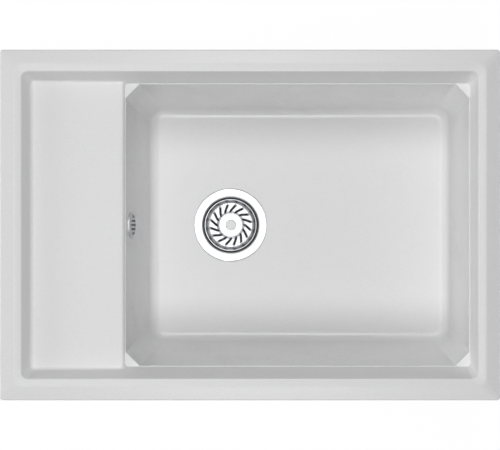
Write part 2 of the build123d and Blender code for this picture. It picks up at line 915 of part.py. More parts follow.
def overflow_pipe():
    """The rigid pipe from the elbow down beside the bowl and under it to the waste body."""
    start = elbow_joint.from_local_coords(Vector(0, 0, -pipe_insertion))
    finish = waste_joint.from_local_coords(Vector(0, 0, -pipe_insertion))
    share = (waste_inlet_z - start.Z) / elbow_joint.z_dir.Z
    corner = start + elbow_joint.z_dir * share
    path = FilletPolyline(start, corner, finish, radius=pipe_bend_radius)
    section = Plane(origin=start, x_dir=(0, 1, 0), z_dir=elbow_joint.z_dir) * Circle(pipe_radius)
    bore = Plane(origin=start, x_dir=(0, 1, 0), z_dir=elbow_joint.z_dir) * Circle(pipe_radius - pipe_wall)
    pipe = sweep(section, path) - sweep(bore, path)
    print("overflow pipe length", round(path.length, 1), "volume", round(pipe.volume))
    return pipe


write("sink_body", sink_body())
write("rim_seal", rim_seal())
for number, station in enumerate(clip_stations, start=1):
    write(f"worktop_clip_{number}", at_station(station, worktop_clip()))
write("clip_screws", Compound([at_station(station, clip_screw()) for station in clip_stations]))
write("clip_dowels", Compound([at_station(station, clip_dowel()) for station in clip_stations]))
write("strainer_dish", strainer_dish())
write("dish_gasket", dish_gasket())
write("body_gasket", body_gasket())
write("basket", basket())
write("basket_gasket", basket_gasket())
write("basket_stem", basket_stem())
write("basket_knob", basket_knob())
write("stem_ring", stem_ring())
write("centre_screw", centre_screw())
write("waste_body", waste_body())
write("overflow_cap", overflow_cap())
write("overflow_bushing", overflow_bushing())
write("overflow_gasket", overflow_gasket())
write("overflow_elbow", overflow_elbow())
write("overflow_pipe", overflow_pipe())
write("elbow_joint_seal", elbow_joint * joint_seal())
write("elbow_joint_nut", elbow_joint * joint_nut())
write("waste_joint_seal", waste_joint * joint_seal())
write("waste_joint_nut", waste_joint * joint_nut())
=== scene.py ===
"""Kitchen sink with drainboard: finishes, fine detail, light and camera round the fixed frame."""

import logging
import math
from dataclasses import dataclass, field
from enum import Enum

import bmesh
import bpy
from mathutils import Matrix, Vector


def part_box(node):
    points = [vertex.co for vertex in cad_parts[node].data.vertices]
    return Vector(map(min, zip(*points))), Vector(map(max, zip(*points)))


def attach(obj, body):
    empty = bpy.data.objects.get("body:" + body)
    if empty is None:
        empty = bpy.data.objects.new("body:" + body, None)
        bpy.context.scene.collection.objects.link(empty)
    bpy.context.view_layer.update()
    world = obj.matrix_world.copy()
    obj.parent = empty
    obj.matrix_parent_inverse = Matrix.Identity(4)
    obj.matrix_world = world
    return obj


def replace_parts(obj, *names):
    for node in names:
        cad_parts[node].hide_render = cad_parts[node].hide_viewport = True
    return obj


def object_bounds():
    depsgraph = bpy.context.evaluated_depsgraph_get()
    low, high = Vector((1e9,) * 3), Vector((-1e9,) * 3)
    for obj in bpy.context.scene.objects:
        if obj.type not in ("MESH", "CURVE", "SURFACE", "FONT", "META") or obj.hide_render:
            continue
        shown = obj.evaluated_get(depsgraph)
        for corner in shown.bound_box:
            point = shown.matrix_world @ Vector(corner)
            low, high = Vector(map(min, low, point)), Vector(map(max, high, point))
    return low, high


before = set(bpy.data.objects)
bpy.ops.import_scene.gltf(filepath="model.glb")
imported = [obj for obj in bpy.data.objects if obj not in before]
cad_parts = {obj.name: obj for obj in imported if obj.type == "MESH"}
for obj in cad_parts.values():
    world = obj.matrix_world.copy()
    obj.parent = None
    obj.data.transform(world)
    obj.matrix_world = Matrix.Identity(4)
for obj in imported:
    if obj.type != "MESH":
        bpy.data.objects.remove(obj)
cad_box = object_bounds()

log = logging.getLogger("sink")
MM = 0.001
Span = tuple[float, float]
Triple = tuple[float, float, float]
Piece = bpy.types.Object
Material = bpy.types.Material
Socket = bpy.types.NodeSocket
Colour = Triple | Socket
BLACK: Triple = (0.0, 0.0, 0.0)
ORIGIN: Triple = (0.0, 0.0, 0.0)


class Slot(Enum):
    """The record's material slots."""

    COMPOSITE = "composite"
    POLISHED_STEEL = "polished_steel"
    ZINC_STEEL = "zinc_steel"
    WHITE_PLASTIC = "white_plastic"
    GREY_PLASTIC = "grey_plastic"
    KNOB_GREY = "knob_grey"
    RUBBER = "rubber"
    FOAM = "foam"


class Body(Enum):
    """The bodies that new pieces ride on."""

    SINK = "sink"
    STRAINER_BASKET = "strainer_basket"


class Layers(Enum):
    """How many finer layers a noise has."""

    FEW = 2.0
    SOME = 3.0
    MANY = 4.0


# ---------------------------------------------------------------- node trees


class NodeTree:
    """A tree of nodes, with one method that adds any kind of node."""

    def __init__(self, tree: bpy.types.NodeTree) -> None:
        """Take the tree that the nodes go into."""
        self.tree = tree

    def add(
        self,
        kind: str,
        settings: dict[str, object] | None = None,
        inputs: dict[str | int, object] | None = None,
    ) -> bpy.types.Node:
        """Add a node.

        Args:
            kind: the node's type.
            settings: its properties, with a colour ramp's stops under "stops", set first.
            inputs: a value, a term or a socket for each input, by name or by place.

        Returns:
            The node.
        """
        node = self.tree.nodes.new(kind)
        for name, value in (settings or {}).items():
            if name == "stops":
                self._set_stops(node.color_ramp, value)
            else:
                setattr(node, name, value)
        for key, value in (inputs or {}).items():
            if isinstance(value, Term):
                self.tree.links.new(value.socket, node.inputs[key])
            elif isinstance(value, Socket):
                self.tree.links.new(value, node.inputs[key])
            else:
                node.inputs[key].default_value = value
        return node

    @staticmethod
    def _set_stops(ramp: bpy.types.ColorRamp, stops: list[tuple[float, Triple]]) -> None:
        """Give a colour ramp its stops.

        Args:
            ramp: the ramp, which starts with two stops.
            stops: a place from nought to one and a colour for each.
        """
        while len(ramp.elements) < len(stops):
            ramp.elements.new(1.0)
        for element, (place, colour) in zip(ramp.elements, stops):
            element.position = place
            element.color = (*colour, 1.0)

    def join(self, x: "Term | float", y: "Term | float", z: "Term | float") -> Socket:
        """A point, a vector or a set of turns made of three numbers."""
        return self.add("ShaderNodeCombineXYZ", None, {0: x, 1: y, 2: z}).outputs[0]


class Term:
    """A number that a tree works out, wrapped so that sums on it add Math nodes."""

    def __init__(self, tree: NodeTree, socket: Socket) -> None:
        """Wrap one output socket of a tree."""
        self.tree = tree
        self.socket = socket

    def math(self, operation: str, *values: "Term | float") -> "Term":
        """Add one Math node.

        Args:
            operation: the node's operation.
            values: its inputs in order.

        Returns:
            The node's result.
        """
        node = self.tree.add("ShaderNodeMath", {"operation": operation}, dict(enumerate(values)))
        return Term(self.tree, node.outputs[0])

    def __add__(self, other: "Term | float") -> "Term":
        """The sum."""
        return self.math("ADD", self, other)

    def __radd__(self, other: float) -> "Term":
        """The sum, from the right."""
        return self.math("ADD", other, self)

    def __sub__(self, other: "Term | float") -> "Term":
        """The difference."""
        return self.math("SUBTRACT", self, other)

    def __rsub__(self, other: float) -> "Term":
        """The difference, from the right."""
        return self.math("SUBTRACT", other, self)

    def __mul__(self, other: "Term | float") -> "Term":
        """The product."""
        return self.math("MULTIPLY", self, other)

    def __rmul__(self, other: float) -> "Term":
        """The product, from the right."""
        return self.math("MULTIPLY", other, self)

    def __truediv__(self, other: "Term | float") -> "Term":
        """The quotient."""
        return self.math("DIVIDE", self, other)

    def __rtruediv__(self, other: float) -> "Term":
        """The quotient, from the right."""
        return self.math("DIVIDE", other, self)

    def __neg__(self) -> "Term":
        """The opposite."""
        return self.math("MULTIPLY", self, -1.0)

    def __abs__(self) -> "Term":
        """The number without its sign."""
        return self.math("ABSOLUTE", self)

    def root(self) -> "Term":
        """The square root."""
        return self.math("SQRT", self)

    def sine(self) -> "Term":
        """The sine of an angle."""
        return self.math("SINE", self)

    def cosine(self) -> "Term":
        """The cosine of an angle."""
        return self.math("COSINE", self)

    def angle(self, x: "Term") -> "Term":
        """The angle of the direction whose y is this number."""
        return self.math("ARCTAN2", self, x)

    def wrap(self, step: float) -> "Term":
        """What is left of this number between nought and a step."""
        return self.math("WRAP", self, step, 0.0)

    def over(self, limit: "Term | float") -> "Term":
        """One where this is above the limit, else nought."""
        return self.math("GREATER_THAN", self, limit)

    def highest(self, other: "Term | float") -> "Term":
        """The larger of the two."""
        return self.math("MAXIMUM", self, other)

    def lowest(self, other: "Term | float") -> "Term":
        """The smaller of the two."""
        return self.math("MINIMUM", self, other)

    def swing(self, amount: float) -> "Term":
        """How far a noise is from its middle of one half, times an amount."""
        return (self - 0.5) * amount

    def ease(self, low: float, high: float) -> "Term":
        """Rise smoothly from nought to one.

        Args:
            low: where the rise starts.
            high: where it ends.

        Returns:
            A number from nought to one.
        """
        values = {"Value": self, "From Min": low, "From Max": high}
        node = self.tree.add("ShaderNodeMapRange", {"interpolation_type": "SMOOTHSTEP"}, values)
        return Term(self.tree, node.outputs[0])


class ShaderTree(NodeTree):
    """A node tree of a material or of the world."""

    def __init__(self, owner: Material | bpy.types.World) -> None:
        """Start the owner's tree afresh.

        Args:
            owner: the material or world that the tree belongs to.
        """
        owner.use_nodes = True
        super().__init__(owner.node_tree)
        self.tree.nodes.clear()

    def place(self) -> Socket:
        """Where a point lies on the piece, in metres."""
        return self.add("ShaderNodeTexCoord").outputs["Object"]

    def facing_down(self) -> Term:
        """How far the surface faces down: one where it looks straight down."""
        normal = self.add("ShaderNodeTexCoord").outputs["Normal"]
        return -self.split(normal)[2]

    def stretched(self, vector: Socket, scale: Triple) -> Socket:
        """The vector with each of its numbers multiplied."""
        node = self.add("ShaderNodeVectorMath", {"operation": "MULTIPLY"}, {0: vector, 1: scale})
        return node.outputs[0]

    def moved(self, vector: Socket, by: Triple) -> Socket:
        """The vector seen from another origin."""
        node = self.add("ShaderNodeVectorMath", {"operation": "SUBTRACT"}, {0: vector, 1: by})
        return node.outputs[0]

    def split(self, vector: Socket) -> tuple[Term, Term, Term]:
        """Take a vector apart.

        Args:
            vector: the vector.

        Returns:
            Its three numbers.
        """
        node = self.add("ShaderNodeSeparateXYZ", None, {0: vector})
        x, y, z = (Term(self, socket) for socket in node.outputs)
        return x, y, z

    def noise(self, vector: Socket, scale: float, layers: Layers = Layers.SOME) -> Term:
        """Cloudy noise.

        Args:
            vector: where it is read.
            scale: how many clouds there are in one unit.
            layers: how many finer layers it has.

        Returns:
            A number about one half.
        """
        values = {"Vector": vector, "Scale": scale, "Detail": layers.value}
        return Term(self, self.add("ShaderNodeTexNoise", None, values).outputs[0])

    def cells(self, vector: Socket, scale: float) -> tuple[Term, Term]:
        """Scattered cells.

        Args:
            vector: where they are read.
            scale: how many cells there are in one unit.

        Returns:
            How far the cell's centre is, and a number of the cell's own.
        """
        node = self.add("ShaderNodeTexVoronoi", None, {"Vector": vector, "Scale": scale})
        own = self.add("ShaderNodeSeparateColor", None, {0: node.outputs["Color"]})
        return Term(self, node.outputs["Distance"]), Term(self, own.outputs[0])

    def steps(self, share: Term, stops: list[tuple[float, Triple]]) -> tuple[Term, Term, Term]:
        """Three numbers that change along a share from nought to one.

        Args:
            share: where on the way a point is.
            stops: the places on the way with their three numbers.

        Returns:
            The three numbers there.
        """
        ramp = self.add("ShaderNodeValToRGB", {"stops": stops}, {0: share})
        node = self.add("ShaderNodeSeparateColor", None, {0: ramp.outputs[0]})
        first, second, third = (Term(self, socket) for socket in node.outputs)
        return first, second, third

    def blend(self, share: Term | float, first: Colour, second: Colour) -> Socket:
        """A colour between two colours.

        Args:
            share: how much of the second there is.
            first: a colour or a socket.
            second: a colour or a socket.

        Returns:
            The mixed colour.
        """
        values = {0: share, 6: self._rgba(first), 7: self._rgba(second)}
        return self.add("ShaderNodeMix", {"data_type": "RGBA"}, values).outputs[2]

    @staticmethod
    def _rgba(colour: Colour) -> tuple[float, ...] | Socket:
        """A colour with its fourth number, or the socket as it is."""
        return (*colour, 1.0) if isinstance(colour, tuple) else colour

    def bump(
        self, height: Term, depth: float, strength: float, under: Socket | None = None
    ) -> Socket:
        """A surface raised by a number.

        Args:
            height: the number, from nought to one.
            depth: how high the surface is where it is one, in metres.
            strength: how strongly the relief shows.
            under: another relief that this one lies on.

        Returns:
            The surface's normal.
        """
        values = {"Height": height, "Distance": depth, "Strength": strength}
        if under is not None:
            values["Normal"] = under
        return self.add("ShaderNodeBump", None, values).outputs[0]

    def surface(self, values: dict[str, object]) -> None:
        """End the tree in a Principled shader with these inputs."""
        shader = self.add("ShaderNodeBsdfPrincipled", None, values)
        self.add("ShaderNodeOutputMaterial", None, {0: shader.outputs[0]})


class GeometryTree(NodeTree):
    """A Geometry Nodes tree with named sizes, whose result is kept as a plain mesh."""

    def __init__(self, name: str) -> None:
        """Start an empty tree.

        Args:
            name: the tree's name.
        """
        super().__init__(bpy.data.node_groups.new(name, "GeometryNodeTree"))
        self.interface = self.tree.interface
        self.interface.new_socket("Geometry", in_out="OUTPUT", socket_type="NodeSocketGeometry")
        self.start = self.add("NodeGroupInput")
        self.sizes: dict[str, float | int] = {}

    def size(self, name: str, value: float | int) -> Term:
        """Add a named input.

        Args:
            name: what the input is called.
            value: what the modifier sets it to.

        Returns:
            The input, for use in the tree.
        """
        kind = "NodeSocketInt" if isinstance(value, int) else "NodeSocketFloat"
        item = self.interface.new_socket(name, in_out="INPUT", socket_type=kind)
        self.sizes[item.identifier] = value
        return Term(self, self.start.outputs[name])

    def placed(
        self, geometry: Socket, move: Socket | Triple = ORIGIN, turn: Socket | Triple = ORIGIN
    ) -> Socket:
        """The geometry turned about its origin and then moved."""
        values = {"Geometry": geometry, "Translation": move, "Rotation": turn}
        return self.add("GeometryNodeTransform", None, values).outputs[0]

    def swept(self, path: Socket, profile: Socket, scale: Term | float = 1.0) -> Socket:
        """Sweep a closed profile along a path, upright and with closed ends.

        Args:
            path: the curve that it follows.
            profile: the curve that is swept, whose X lies across the path.
            scale: how large the profile is along the path.

        Returns:
            The swept mesh.
        """
        upright = self.add("GeometryNodeSetCurveNormal", {"mode": "Z_UP"}, {0: path})
        values = {
            "Curve": upright.outputs[0],
            "Profile Curve": profile,
            "Scale": scale,
            "Fill Caps": True,
        }
        return self.add("GeometryNodeCurveToMesh", None, values).outputs[0]

    def piece(self, name: str, geometry: Socket, material: Material) -> Piece:
        """End the tree, run it on an empty piece and keep the result.

        Args:
            name: the piece's name.
            geometry: what the tree has made.
            material: the finish that the faces get.

        Returns:
            The piece, a plain mesh with no modifier.
        """
        real = self.add("GeometryNodeRealizeInstances", None, {0: geometry})
        values = {"Geometry": real.outputs[0], "Material": material}
        dressed = self.add("GeometryNodeSetMaterial", None, values)
        self.add("NodeGroupOutput", None, {0: dressed.outputs[0]})
        piece = bpy.data.objects.new(name, bpy.data.meshes.new(name))
        bpy.context.scene.collection.objects.link(piece)
        modifier = piece.modifiers.new(name, "NODES")
        modifier.node_group = self.tree
        for identifier, value in self.sizes.items():
            modifier[identifier] = value
        graph = bpy.context.evaluated_depsgraph_get()
        mesh = bpy.data.meshes.new_from_object(piece.evaluated_get(graph))
        piece.modifiers.remove(modifier)
        piece.data = mesh
        return piece


# ------------------------------------------------------------------- finishes


@dataclass(frozen=True)
class Finish:
    """What every finish has: a name, a slot and a base colour.

    In every finish, a span is the two numbers between which a noise rises from nought to one,
    shades are the two shares of the base colour that it then runs between, and a gloss is how
    far it sways the roughness. Depths are in metres.
    """

    name: str
    slot: Slot
    colour: Triple

    def make(self) -> Material:
        """Build the material.

        Returns:
            The material, painted.
        """
        material = bpy.data.materials.new(self.name)
        self.paint(ShaderTree(material))
        return material

    def paint(self, tree: ShaderTree) -> None:
        """Fill the material's tree."""
        raise NotImplementedError

    def tinted(self, share: float) -> Triple:
        """The base colour made darker or paler by a share."""
        red, green, blue = (min(1.0, share * c) for c in self.colour)
        return (red, green, blue)

    def shaded(self, tree: ShaderTree, share: Term, shades: Span) -> Socket:
        """The base colour between two of its tints."""
        return tree.blend(share, self.tinted(shades[0]), self.tinted(shades[1]))


@dataclass(frozen=True)
class CompositeFinish(Finish):
    """Moulded quartz composite: fine grain and a soft sheen, and a rough back from the mould."""

    grain_per_metre: float = 1300.0
    grain_span: Span = (0.3, 0.7)
    grain_shades: Span = (0.95, 1.03)
    grain_gloss: float = 0.1
    grain_depth: float = 0.00004
    grain_strength: float = 0.3
    cloud_per_metre: float = 9.0
    cloud_span: Span = (0.25, 0.75)
    cloud_share: float = 0.3
    cloud_gloss: float = 0.06
    speck_per_metre: float = 520.0
    speck_above: float = 0.9
    speck_edge: Span = (0.15, 0.5)
    speck_share: float = 0.35
    speck_tint: float = 0.75
    speck_relief: float = 0.3
    roughness: float = 0.29
    back_from: Span = (0.03, 0.12)
    back_lumps_per_metre: float = 160.0
    back_span: Span = (0.3, 0.7)
    back_shades: Span = (0.82, 0.88)
    back_roughness: float = 0.74
    back_depth: float = 0.0002
    back_strength: float = 0.8

    def paint(self, tree: ShaderTree) -> None:
        """Fill the material's tree.

        Args:
            tree: the tree, still empty.
        """
        here = tree.place()
        grain = tree.noise(here, self.grain_per_metre)
        cloud = tree.noise(here, self.cloud_per_metre)
        lumps = tree.noise(here, self.back_lumps_per_metre, Layers.MANY)
        distance, own = tree.cells(here, self.speck_per_metre)
        speck = own.over(self.speck_above) * (1.0 - distance.ease(*self.speck_edge))
        back = tree.facing_down().ease(*self.back_from)
        ground = self.shaded(tree, grain.ease(*self.grain_span), self.grain_shades)
        tone = tree.blend(cloud.ease(*self.cloud_span) * self.cloud_share, ground, self.colour)
        face = tree.blend(speck * self.speck_share, tone, self.tinted(self.speck_tint))
        rough_back = self.shaded(tree, lumps.ease(*self.back_span), self.back_shades)
        gloss = self.roughness + grain.swing(self.grain_gloss) + cloud.swing(self.cloud_gloss)
        height = grain + distance * self.speck_relief
        relief = tree.bump(height, self.grain_depth, self.grain_strength)
        tree.surface(
            {
                "Base Color": tree.blend(back, face, rough_back),
                "Roughness": gloss * (1.0 - back) + back * self.back_roughness,
                "Normal": tree.bump(lumps * back, self.back_depth, self.back_strength, relief),
            }
        )


@dataclass(frozen=True)
class RadiusPaintedLightAndGloss:
    """The painted shade or highlight, and the roughness, of turned steel at one radius."""

    radius_mm: float
    # tone is the share of the steel's colour left: low for painted shade, high for painted
    # highlight
    tone: float
    roughness: float


@dataclass(frozen=True)
class SlotRing:
    """The ring of twisted slots in the basket's floor, in millimetres and degrees."""

    count: int = 16
    circle: float = 25.9
    start: float = 15.5
    twist: float = 35.0
    half_length: float = 7.8
    half_width: float = 1.2
    # how far the painted shade round the slots reaches, and how dark it is at their edges
    slot_shade_reach: float = 1.5
    slot_shade_tone: float = 0.05

    def painted_slot_shade(self, x: Term, y: Term) -> Term:
        """How light the steel is painted near the slots: painted shade, a painted reflection of
        the dark below.

        Args:
            x: the first place number about the drain's axis, in metres.
            y: the second place number about the drain's axis, in metres.

        Returns:
            One away from the slots, falling to the painted shade's tone at them.
        """
        step = math.tau / self.count
        radius = (x * x + y * y).root()
        turned = y.angle(x) - math.radians(self.start) + step / 2
        fold = turned.wrap(step) - step / 2
        out = radius * fold.cosine() - self.circle * MM
        side = radius * fold.sine()
        cosine, sine = math.cos(math.radians(self.twist)), math.sin(math.radians(self.twist))
        along = out * cosine - side * sine
        across = out * sine + side * cosine
        straight = (self.half_length - self.half_width) * MM
        past = (abs(along) - straight).highest(0.0)
        off = (past * past + across * across).root() - self.half_width * MM
        return self.slot_shade_tone + off.ease(0.0, self.slot_shade_reach * MM) * (1.0 - self.slot_shade_tone)


@dataclass(frozen=True)
class TurnedSteelFinish(Finish):
    """Stainless steel turned and polished about an axis, rougher in its hollows, with painted
    shade and highlights in rings.
    """

    axis: Triple
    painted_light_rings: tuple[RadiusPaintedLightAndGloss, ...]
    slots: SlotRing | None = None
    rings_per_metre: float = 2600.0
    ring_gloss: float = 0.08
    smear_per_metre: float = 60.0
    smear_span: Span = (0.35, 0.7)
    smear_shades: Span = (0.94, 1.0)
    smear_gloss: float = 0.1
    scratch_per_metre: float = 700.0
    scratch_stretch: Triple = (1.0, 7.0, 2.0)
    scratch_relief: float = 0.3
    relief_depth: float = 0.00001
    relief_strength: float = 0.25

    def paint(self, tree: ShaderTree) -> None:
        """Fill the material's tree.

        Args:
            tree: the tree, still empty.
        """
        here = tree.moved(tree.place(), self.axis)
        x, y, z = tree.split(here)
        radius = (x * x + y * y).root()
        # painted shade and highlights: a share of the steel's colour, read by radius, dims it
        # towards black
        end = self.painted_light_rings[-1].radius_mm
        stops = [(t.radius_mm / end, (t.tone, t.roughness, 0.0)) for t in self.painted_light_rings]
        tone, rough, _ = tree.steps(radius / (end * MM), stops)
        # more painted shade round the slots
        if self.slots:
            tone = tone * self.slots.painted_slot_shade(x, y)
        rings = tree.noise(tree.join(radius, z, 0.0), self.rings_per_metre)
        smear = tree.noise(here, self.smear_per_metre)
        drawn = tree.stretched(here, self.scratch_stretch)
        scratch = tree.noise(drawn, self.scratch_per_metre, Layers.FEW)
        steel = self.shaded(tree, smear.ease(*self.smear_span), self.smear_shades)
        height = rings + scratch * self.scratch_relief
        tree.surface(
            {
                "Base Color": tree.blend(tone, BLACK, steel),
                "Metallic": 1.0,
                "Roughness": rough + smear.swing(self.smear_gloss) + rings.swing(self.ring_gloss),
                "Normal": tree.bump(height, self.relief_depth, self.relief_strength),
            }
        )


@dataclass(frozen=True)
class PlainSteelFinish(Finish):
    """Pressed or turned steel with a fine satin grain along the piece."""

    roughness: float = 0.3
    grain_per_metre: float = 420.0
    grain_stretch: Triple = (9.0, 1.0, 1.0)
    grain_gloss: float = 0.14
    grain_depth: float = 0.00001
    grain_strength: float = 0.3
    smear_per_metre: float = 80.0
    smear_span: Span = (0.3, 0.7)
    smear_shades: Span = (0.86, 1.0)
    smear_gloss: float = 0.12

    def paint(self, tree: ShaderTree) -> None:
        """Fill the material's tree.

        Args:
            tree: the tree, still empty.
        """
        here = tree.place()
        grain = tree.noise(tree.stretched(here, self.grain_stretch), self.grain_per_metre)
        smear = tree.noise(here, self.smear_per_metre)
        sway = grain.swing(self.grain_gloss)
        tree.surface(
            {
                "Base Color": self.shaded(tree, smear.ease(*self.smear_span), self.smear_shades),
                "Metallic": 1.0,
                "Roughness": self.roughness + sway + smear.swing(self.smear_gloss),
                "Normal": tree.bump(grain, self.grain_depth, self.grain_strength),
            }
        )


@dataclass(frozen=True)
class ZincFinish(Finish):
    """Zinc-plated pressed steel with a faint spangle."""

    roughness: float = 0.38
    spangle_per_metre: float = 420.0
    spangle_share: float = 0.5
    spangle_gloss: float = 0.12
    spangle_relief: float = 0.2
    smear_per_metre: float = 90.0
    smear_share: float = 0.4
    smear_gloss: float = 0.25
    shades: Span = (1.0, 0.72)
    relief_depth: float = 0.00003
    relief_strength: float = 0.3

    def paint(self, tree: ShaderTree) -> None:
        """Fill the material's tree.

        Args:
            tree: the tree, still empty.
        """
        here = tree.place()
        _, own = tree.cells(here, self.spangle_per_metre)
        smear = tree.noise(here, self.smear_per_metre, Layers.MANY)
        dull = own * self.spangle_share + smear * self.smear_share
        sway = own.swing(self.spangle_gloss)
        height = smear + own * self.spangle_relief
        tree.surface(
            {
                "Base Color": self.shaded(tree, dull, self.shades),
                "Metallic": 1.0,
                "Roughness": self.roughness + sway + smear.swing(self.smear_gloss),
                "Normal": tree.bump(height, self.relief_depth, self.relief_strength),
            }
        )


@dataclass(frozen=True)
class PlasticFinish(Finish):
    """Moulded plastic with a fine spark-eroded grain and faint flow marks."""

    roughness: float = 0.42
    grain_per_metre: float = 1500.0
    grain_gloss: float = 0.16
    grain_depth: float = 0.00003
    grain_strength: float = 0.3
    flow_per_metre: float = 28.0
    flow_stretch: Triple = (1.0, 1.0, 0.35)
    flow_span: Span = (0.3, 0.75)
    flow_shades: Span = (1.0, 0.92)
    flow_gloss: float = 0.1

    def paint(self, tree: ShaderTree) -> None:
        """Fill the material's tree.

        Args:
            tree: the tree, still empty.
        """
        here = tree.place()
        drawn = tree.stretched(here, self.flow_stretch)
        grain = tree.noise(here, self.grain_per_metre, Layers.FEW)
        flow = tree.noise(drawn, self.flow_per_metre, Layers.MANY)
        sway = grain.swing(self.grain_gloss)
        tree.surface(
            {
                "Base Color": self.shaded(tree, flow.ease(*self.flow_span), self.flow_shades),
                "Roughness": self.roughness + sway + flow.swing(self.flow_gloss),
                "Normal": tree.bump(grain, self.grain_depth, self.grain_strength),
            }
        )


@dataclass(frozen=True)
class RubberFinish(Finish):
    """Sealing rubber with a little dust, or foam with open pores."""

    pores_per_metre: float = 900.0
    pore_depth: float = 0.00005
    roughness: float = 0.72
    pore_strength: float = 0.6
    pore_gloss: float = 0.15
    dust_per_metre: float = 140.0
    dust_span: Span = (0.45, 0.8)
    dust_lift: float = 0.05
    dust_gloss: float = 0.15

    def paint(self, tree: ShaderTree) -> None:
        """Fill the material's tree.

        Args:
            tree: the tree, still empty.
        """
        here = tree.place()
        distance, own = tree.cells(here, self.pores_per_metre)
        dust = tree.noise(here, self.dust_per_metre, Layers.MANY)
        red, green, blue = (c + self.dust_lift for c in self.colour)
        dusty = tree.blend(dust.ease(*self.dust_span), self.colour, (red, green, blue))
        sway = own.swing(self.pore_gloss)
        tree.surface(
            {
                "Base Color": dusty,
                "Roughness": self.roughness + sway + dust.swing(self.dust_gloss),
                "Normal": tree.bump(distance, self.pore_depth, self.pore_strength),
            }
        )


def drain_axis() -> Triple:
    """Find the drain's axis from the dish's own box.

    Returns:
        The point of the axis at the worktop's height, in metres.
    """
    low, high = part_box("strainer_dish")
    centre = (low + high) / 2
    return (centre.x, centre.y, 0.0)


def painted_light_rings(*rows: Triple) -> tuple[RadiusPaintedLightAndGloss, ...]:
    """Rings of painted shade and highlight from rows of a radius in millimetres, a painted
    brightness and a roughness.
    """
    return tuple(RadiusPaintedLightAndGloss(*row) for row in rows)


STEEL: Triple = (0.86, 0.875, 0.9)
# painted shade: the sump, the cup wall and the lip are painted dark for the shade and dark
# reflections there; the roughness by radius is real
DISH_PAINTED_SHADE = painted_light_rings(
    (0.0, 0.05, 0.55),
    (36.0, 0.1, 0.5),
    (40.5, 0.16, 0.4),
    (43.9, 0.16, 0.35),
    (45.2, 0.5, 0.2),
    (46.6, 0.86, 0.14),
    (60.0, 0.84, 0.14),
)
# painted shade and highlights: darker rings on the floor and wall, bright rings by the hub, at
# the wall's top and on the bead; the roughness by radius is real
BASKET_PAINTED_LIGHT = painted_light_rings(
    (0.0, 0.66, 0.24),
    (14.0, 0.6, 0.27),
    (17.4, 0.95, 0.6),
    (20.5, 0.95, 0.55),
    (22.0, 0.62, 0.27),
    (31.0, 0.56, 0.27),
    (34.4, 0.66, 0.3),
    (35.8, 0.9, 0.35),
    (36.4, 0.46, 0.4),
    (37.1, 0.3, 0.4),
    (37.7, 0.42, 0.3),
    (38.9, 0.36, 0.2),
    (39.3, 0.62, 0.14),
    (39.7, 0.4, 0.2),
    (40.6, 0.22, 0.3),
)
# painted shade: the tongues darken towards their inner ends under the slots
TONGUE_PAINTED_SHADE = painted_light_rings(
    (29.0, 0.14, 0.5),
    (31.0, 0.4, 0.4),
    (33.0, 0.85, 0.3),
    (34.0, 0.85, 0.3),
)
BASKET_SLOTS = SlotRing()


class Look(Enum):
    """The finishes of this sink's pieces."""

    COMPOSITE = CompositeFinish("white_composite", Slot.COMPOSITE, (0.80, 0.80, 0.805))
    DISH = TurnedSteelFinish("dish_steel", Slot.POLISHED_STEEL, STEEL, drain_axis(), DISH_PAINTED_SHADE)
    BASKET = TurnedSteelFinish(
        "basket_steel", Slot.POLISHED_STEEL, STEEL, drain_axis(), BASKET_PAINTED_LIGHT, BASKET_SLOTS
    )
    TONGUE = TurnedSteelFinish(
        "tongue_steel", Slot.POLISHED_STEEL, STEEL, drain_axis(), TONGUE_PAINTED_SHADE
    )
    TURNED = PlainSteelFinish("satin_steel", Slot.POLISHED_STEEL, (0.62, 0.63, 0.65))
    CAP = PlainSteelFinish("cap_steel", Slot.POLISHED_STEEL, (0.56, 0.565, 0.575), 0.42)
    ZINC = ZincFinish("zinc_plated_steel", Slot.ZINC_STEEL, (0.68, 0.70, 0.72))
    WHITE = PlasticFinish("white_plastic", Slot.WHITE_PLASTIC, (0.78, 0.78, 0.75))
    GREY = PlasticFinish("grey_plastic", Slot.GREY_PLASTIC, (0.30, 0.31, 0.32))
    KNOB = PlasticFinish("knob_plastic", Slot.KNOB_GREY, (0.86, 0.885, 0.86), 0.3)
    RUBBER = RubberFinish("black_rubber", Slot.RUBBER, (0.025, 0.025, 0.027))
    FOAM = RubberFinish(
        "seal_foam",
        Slot.FOAM,
        (0.09, 0.09, 0.095),
        pores_per_metre=1400.0,
        pore_depth=0.0002,
        roughness=0.9,
    )


@dataclass
class Wardrobe:
    """Keeps one material of each finish and gives them to pieces."""

    made: dict[Look, Material] = field(default_factory=dict)

    def material(self, look: Look) -> Material:
        """Build a finish's material when it is first asked for.

        Args:
            look: the finish.

        Returns:
            Its one material.
        """
        if look not in self.made:
            self.made[look] = look.value.make()
        return self.made[look]

    def dress(self, piece: Piece, look: Look) -> None:
        """Give a piece one finish.

        Args:
            piece: a kept node or a new piece.
            look: the finish.
        """
        piece.data.materials.clear()
        piece.data.materials.append(self.material(look))
        log.info("dressed %s in %s", piece.name, look.value.name)


# ------------------------------------------------------------ sub-assemblies


@dataclass
class SubAssembly:
    """Kept nodes of the frame, each with its finish. Some kinds add fine pieces of their own."""

    wardrobe: Wardrobe
    looks: dict[str, Look] = field(default_factory=dict)

    def dress_nodes(self) -> None:
        """Give every kept node its finish."""
        for node, look in self.looks.items():
            self.wardrobe.dress(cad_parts[node], look)

    def build(self) -> None:
        """Dress the kept nodes."""
        self.dress_nodes()


@dataclass
class SinkBody(SubAssembly):
    """The moulded body and the foam seal under its rim."""

    looks: dict[str, Look] = field(
        default_factory=lambda: {"sink_body": Look.COMPOSITE, "rim_seal": Look.FOAM}
    )


